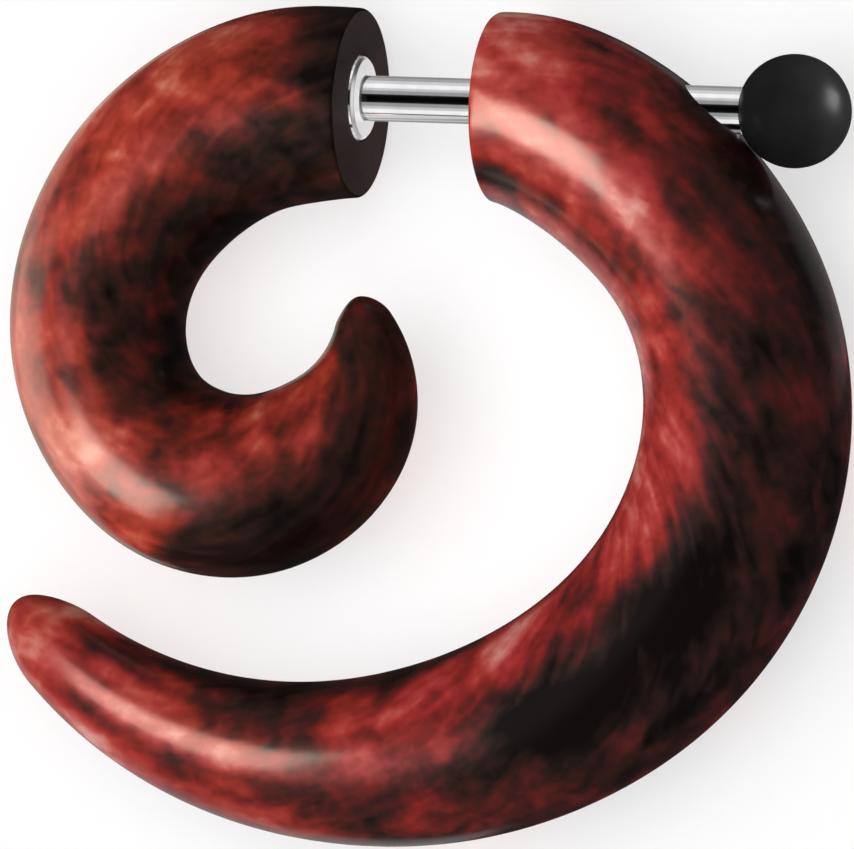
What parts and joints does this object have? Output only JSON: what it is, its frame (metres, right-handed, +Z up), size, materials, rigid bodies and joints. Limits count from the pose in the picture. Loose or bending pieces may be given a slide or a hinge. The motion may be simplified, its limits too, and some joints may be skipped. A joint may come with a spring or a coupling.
{
  "type": "faux plug earring",
  "caption": "Faux plug earring: a tapered coil and a larger tapered crescent, joined through the ear by a thin straight post that ends in a small ball.",
  "frame": {"origin": "on the surface that it lies on, under the middle of the whole earring", "axes": "+X along the post, from the front spiral to the ball; +Y towards the top of the ear; +Z up, out of the plane of the spirals"},
  "size_m": [0.0232, 0.022, 0.0055],
  "materials": {
    "marbled_acrylic": "gloss, marbled rust red and dark brown",
    "polished_steel": "polished steel",
    "black_ball": "satin black"
  },
  "bodies": {
    "front": {"front_spiral": "marbled_acrylic"},
    "post": {"post": "polished_steel"},
    "back": {"back_spiral": "marbled_acrylic"},
    "ball": {"ball": "black_ball"}
  },
  "joints": [
    {"name": "back_swivel", "type": "hinge", "parent": "front", "child": "post", "pos_m": [-0.00212, 0.00865, 0.00277], "axis": [1, 0, 0], "continuous": true},
    {"name": "back_slide", "type": "slide", "parent": "post", "child": "back", "axis": [1, 0, 0], "range_m": [-0.0032, 0]},
    {"name": "ball_unscrew", "type": "slide", "parent": "post", "child": "ball", "axis": [1, 0, 0], "range_m": [0, 0.004]}
  ]
}
